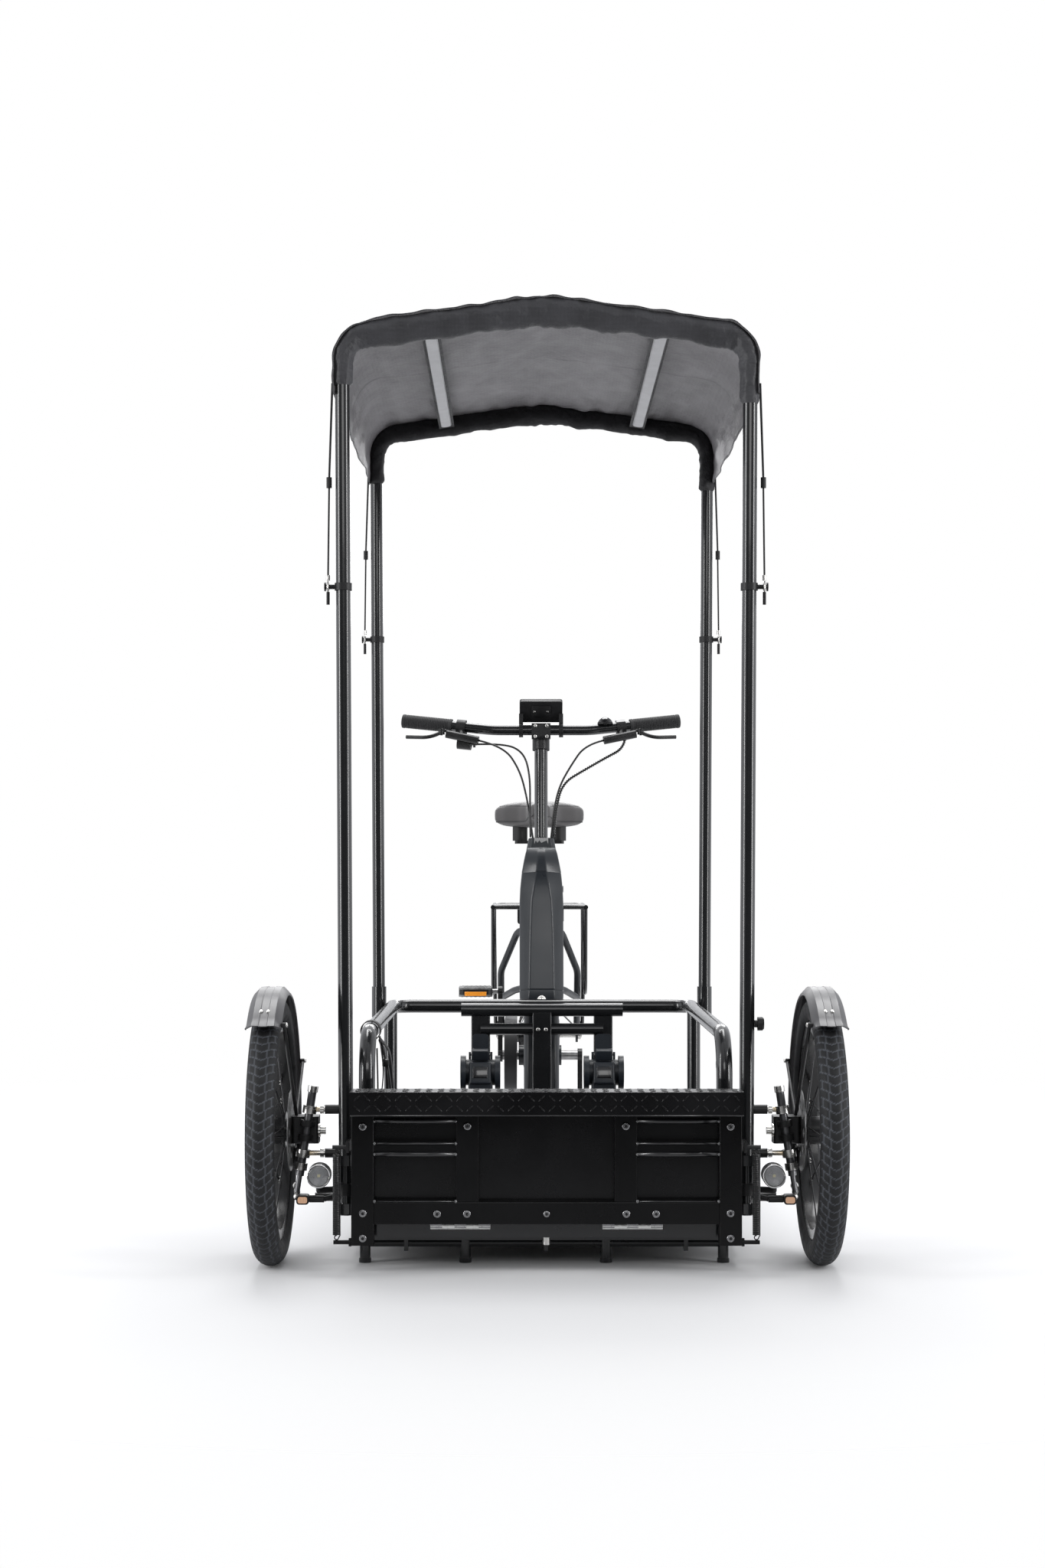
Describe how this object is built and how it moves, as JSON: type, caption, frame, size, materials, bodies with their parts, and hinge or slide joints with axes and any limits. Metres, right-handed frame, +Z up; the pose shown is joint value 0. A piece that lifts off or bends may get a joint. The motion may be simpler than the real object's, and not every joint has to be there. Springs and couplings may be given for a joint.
{
  "type": "wheelchair-transport tricycle",
  "caption": "Pedal tricycle with two steered front wheels beside a low wheelchair platform, folding ramp, guard rail, canopy on four poles, battery column, handlebar, saddle and rear rack.",
  "frame": {"origin": "centre of the footprint, on the ground", "axes": "+X the rider's left, -Y forwards, +Z up"},
  "size_m": [1.124, 2.626, 1.8552],
  "materials": {
    "frame_black": "gloss black powder coat",
    "ramp_black": "gloss black powder coat with small chips at the edges",
    "floor_plate": "black tread plate",
    "column_black": "satin slate black paint",
    "knuckle_black": "satin black with bare steel kingpin",
    "fender_grey": "satin dark grey",
    "canopy_cloth": "coated woven polyester, lighter inside",
    "batten_grey": "light grey strip",
    "cord_black": "braided elastic cord",
    "webbing": "woven polyester webbing",
    "retractor_plastic": "moulded charcoal plastic",
    "black_plastic": "moulded black plastic",
    "clear_lens": "ribbed clear lens",
    "signal_lens": "coloured lens",
    "steel": "zinc-plated steel",
    "cable_black": "smooth black cable jacket",
    "grip_rubber": "soft grey-black rubber",
    "tyre": "charcoal rubber with block tread",
    "wheel_black": "anodised black rim and hub",
    "saddle_cover": "matte charcoal synthetic leather",
    "battery_shell": "satin slate-black shell"
  },
  "bodies": {
    "chassis": {"platform_frame": "frame_black", "platform_floor": "floor_plate", "canopy_poles": "frame_black", "canopy_bows": "frame_black", "canopy_cover": "canopy_cloth", "canopy_battens": "batten_grey", "canopy_cords": "cord_black", "guard_rail": "frame_black", "docking_frame": "frame_black", "belt_retractors": "retractor_plastic", "restraint_belts": "webbing", "steering_column": "column_black", "kingpin_arms": "frame_black", "lamp_housings": "black_plastic", "headlight_lenses": "clear_lens", "signal_lenses": "signal_lens", "main_frame": "column_black", "rear_frame": "column_black", "chain_case": "black_plastic", "drive_chain": "steel", "rear_rack": "frame_black", "rear_fender": "fender_grey", "frame_fasteners": "steel", "steering_cables": "cable_black", "ramp_springs": "steel", "control_cables": "cable_black"},
    "ramp": {"ramp_frame": "ramp_black", "ramp_plates": "ramp_black", "ramp_fasteners": "steel"},
    "stand": {"parking_stand": "frame_black"},
    "handlebar": {"steering_shaft": "column_black", "stem": "column_black", "handlebar_bar": "column_black", "grips": "grip_rubber", "bar_controls": "black_plastic"},
    "display": {"display_unit": "black_plastic"},
    "lever_left": {"brake_lever_left": "column_black"},
    "lever_right": {"brake_lever_right": "column_black"},
    "shifter": {"shift_lever": "black_plastic"},
    "steering_rods": {"steering_rods": "steel"},
    "knuckle_left": {"knuckle_left": "knuckle_black", "fender_left": "fender_grey"},
    "knuckle_right": {"knuckle_right": "knuckle_black", "fender_right": "fender_grey"},
    "wheel_front_left": {"front_left_tyre": "tyre", "front_left_wheel": "wheel_black"},
    "wheel_front_right": {"front_right_tyre": "tyre", "front_right_wheel": "wheel_black"},
    "wheel_rear": {"rear_tyre": "tyre", "rear_wheel": "wheel_black"},
    "crank": {"crankset": "column_black"},
    "pedal_left": {"pedal_left": "black_plastic"},
    "pedal_right": {"pedal_right": "black_plastic"},
    "saddle": {"saddle_cover": "saddle_cover", "seat_post": "column_black"},
    "battery": {"battery": "battery_shell"},
    "release_left": {"release_lever_left": "retractor_plastic"},
    "release_right": {"release_lever_right": "retractor_plastic"},
    "knob": {"pole_knob": "black_plastic"}
  },
  "joints": [
    {"name": "ramp_hinge", "type": "hinge", "parent": "chassis", "child": "ramp", "pos_m": [0, -1.132, 0.085], "axis": [1, 0, 0], "range_deg": [0, 90], "deforming": ["ramp_springs"]},
    {"name": "stand_fold", "type": "hinge", "parent": "chassis", "child": "stand", "pos_m": [0, -1.031, 0.038], "axis": [1, 0, 0], "range_deg": [0, 85]},
    {"name": "steering", "type": "hinge", "parent": "chassis", "child": "handlebar", "pos_m": [0, 0.08, 0.13], "axis": [0, 0.1731, 0.9849], "range_deg": [-30, 30], "deforming": ["control_cables"]},
    {"name": "kingpin_left_turn", "type": "hinge", "parent": "chassis", "child": "knuckle_left", "pos_m": [0.4785, -1.064, 0.14], "axis": [-0.1511, 0, 0.9885], "range_deg": [-18, 18]},
    {"name": "kingpin_right_turn", "type": "hinge", "parent": "chassis", "child": "knuckle_right", "pos_m": [-0.4785, -1.064, 0.14], "axis": [0.1511, 0, 0.9885], "range_deg": [-18, 18]},
    {"name": "steering_rod_slide", "type": "slide", "parent": "chassis", "child": "steering_rods", "axis": [-1, 0, 0], "range_m": [-0.031, 0.031]},
    {"name": "front_left_spin", "type": "hinge", "parent": "knuckle_left", "child": "wheel_front_left", "pos_m": [0.527, -1.055, 0.258], "axis": [1, 0, 0], "continuous": true},
    {"name": "front_right_spin", "type": "hinge", "parent": "knuckle_right", "child": "wheel_front_right", "pos_m": [-0.527, -1.055, 0.258], "axis": [1, 0, 0], "continuous": true},
    {"name": "rear_spin", "type": "hinge", "parent": "chassis", "child": "wheel_rear", "pos_m": [0, 0.9918, 0.3], "axis": [1, 0, 0], "continuous": true},
    {"name": "crank_spin", "type": "hinge", "parent": "chassis", "child": "crank", "pos_m": [0, 0.57, 0.277], "axis": [1, 0, 0], "continuous": true},
    {"name": "pedal_left_spin", "type": "hinge", "parent": "crank", "child": "pedal_left", "pos_m": [0.16, 0.57, 0.112], "axis": [1, 0, 0], "continuous": true},
    {"name": "pedal_right_spin", "type": "hinge", "parent": "crank", "child": "pedal_right", "pos_m": [-0.16, 0.57, 0.442], "axis": [1, 0, 0], "continuous": true},
    {"name": "seat_height", "type": "slide", "parent": "chassis", "child": "saddle", "axis": [0, 0.342, 0.9397], "range_m": [0, 0.12]},
    {"name": "battery_slide", "type": "slide", "parent": "chassis", "child": "battery", "axis": [0, 0.1731, 0.9849], "range_m": [0, 0.16]},
    {"name": "display_tilt", "type": "hinge", "parent": "handlebar", "child": "display", "pos_m": [0, 0.236, 1.099], "axis": [1, 0, 0], "range_deg": [-12, 20]},
    {"name": "brake_left_pull", "type": "hinge", "parent": "handlebar", "child": "lever_left", "pos_m": [0.24367, 0.22742, 1.09271], "axis": [0, 0, 1], "range_deg": [0, 14], "stiffness_Nm_per_rad": 2, "springref_deg": -11.46},
    {"name": "brake_right_pull", "type": "hinge", "parent": "handlebar", "child": "lever_right", "pos_m": [-0.24367, 0.22742, 1.09271], "axis": [0, 0, -1], "range_deg": [0, 14], "stiffness_Nm_per_rad": 2, "springref_deg": -11.46},
    {"name": "shift_click", "type": "hinge", "parent": "handlebar", "child": "shifter", "pos_m": [-0.169, 0.23788, 1.06456], "axis": [1, 0, 0], "range_deg": [0, 20], "stiffness_Nm_per_rad": 0.5, "springref_deg": -17.19},
    {"name": "release_left_pull", "type": "hinge", "parent": "chassis", "child": "release_left", "pos_m": [0.143, -0.058, 0.327], "axis": [1, 0, 0], "range_deg": [0, 35], "stiffness_Nm_per_rad": 0.5, "springref_deg": -17.19},
    {"name": "release_right_pull", "type": "hinge", "parent": "chassis", "child": "release_right", "pos_m": [-0.143, -0.058, 0.327], "axis": [1, 0, 0], "range_deg": [0, 35], "stiffness_Nm_per_rad": 0.5, "springref_deg": -17.19},
    {"name": "knob_turn", "type": "hinge", "parent": "chassis", "child": "knob", "pos_m": [0.401, -1.09, 0.465], "axis": [1, 0, 0], "continuous": true}
  ],
  "couplings": [
    {"joint": "kingpin_left_turn", "follows": "steering", "ratio": 0.6},
    {"joint": "kingpin_right_turn", "follows": "steering", "ratio": 0.6},
    {"joint": "steering_rod_slide", "follows": "steering", "m_per_rad": 0.05666}
  ]
}
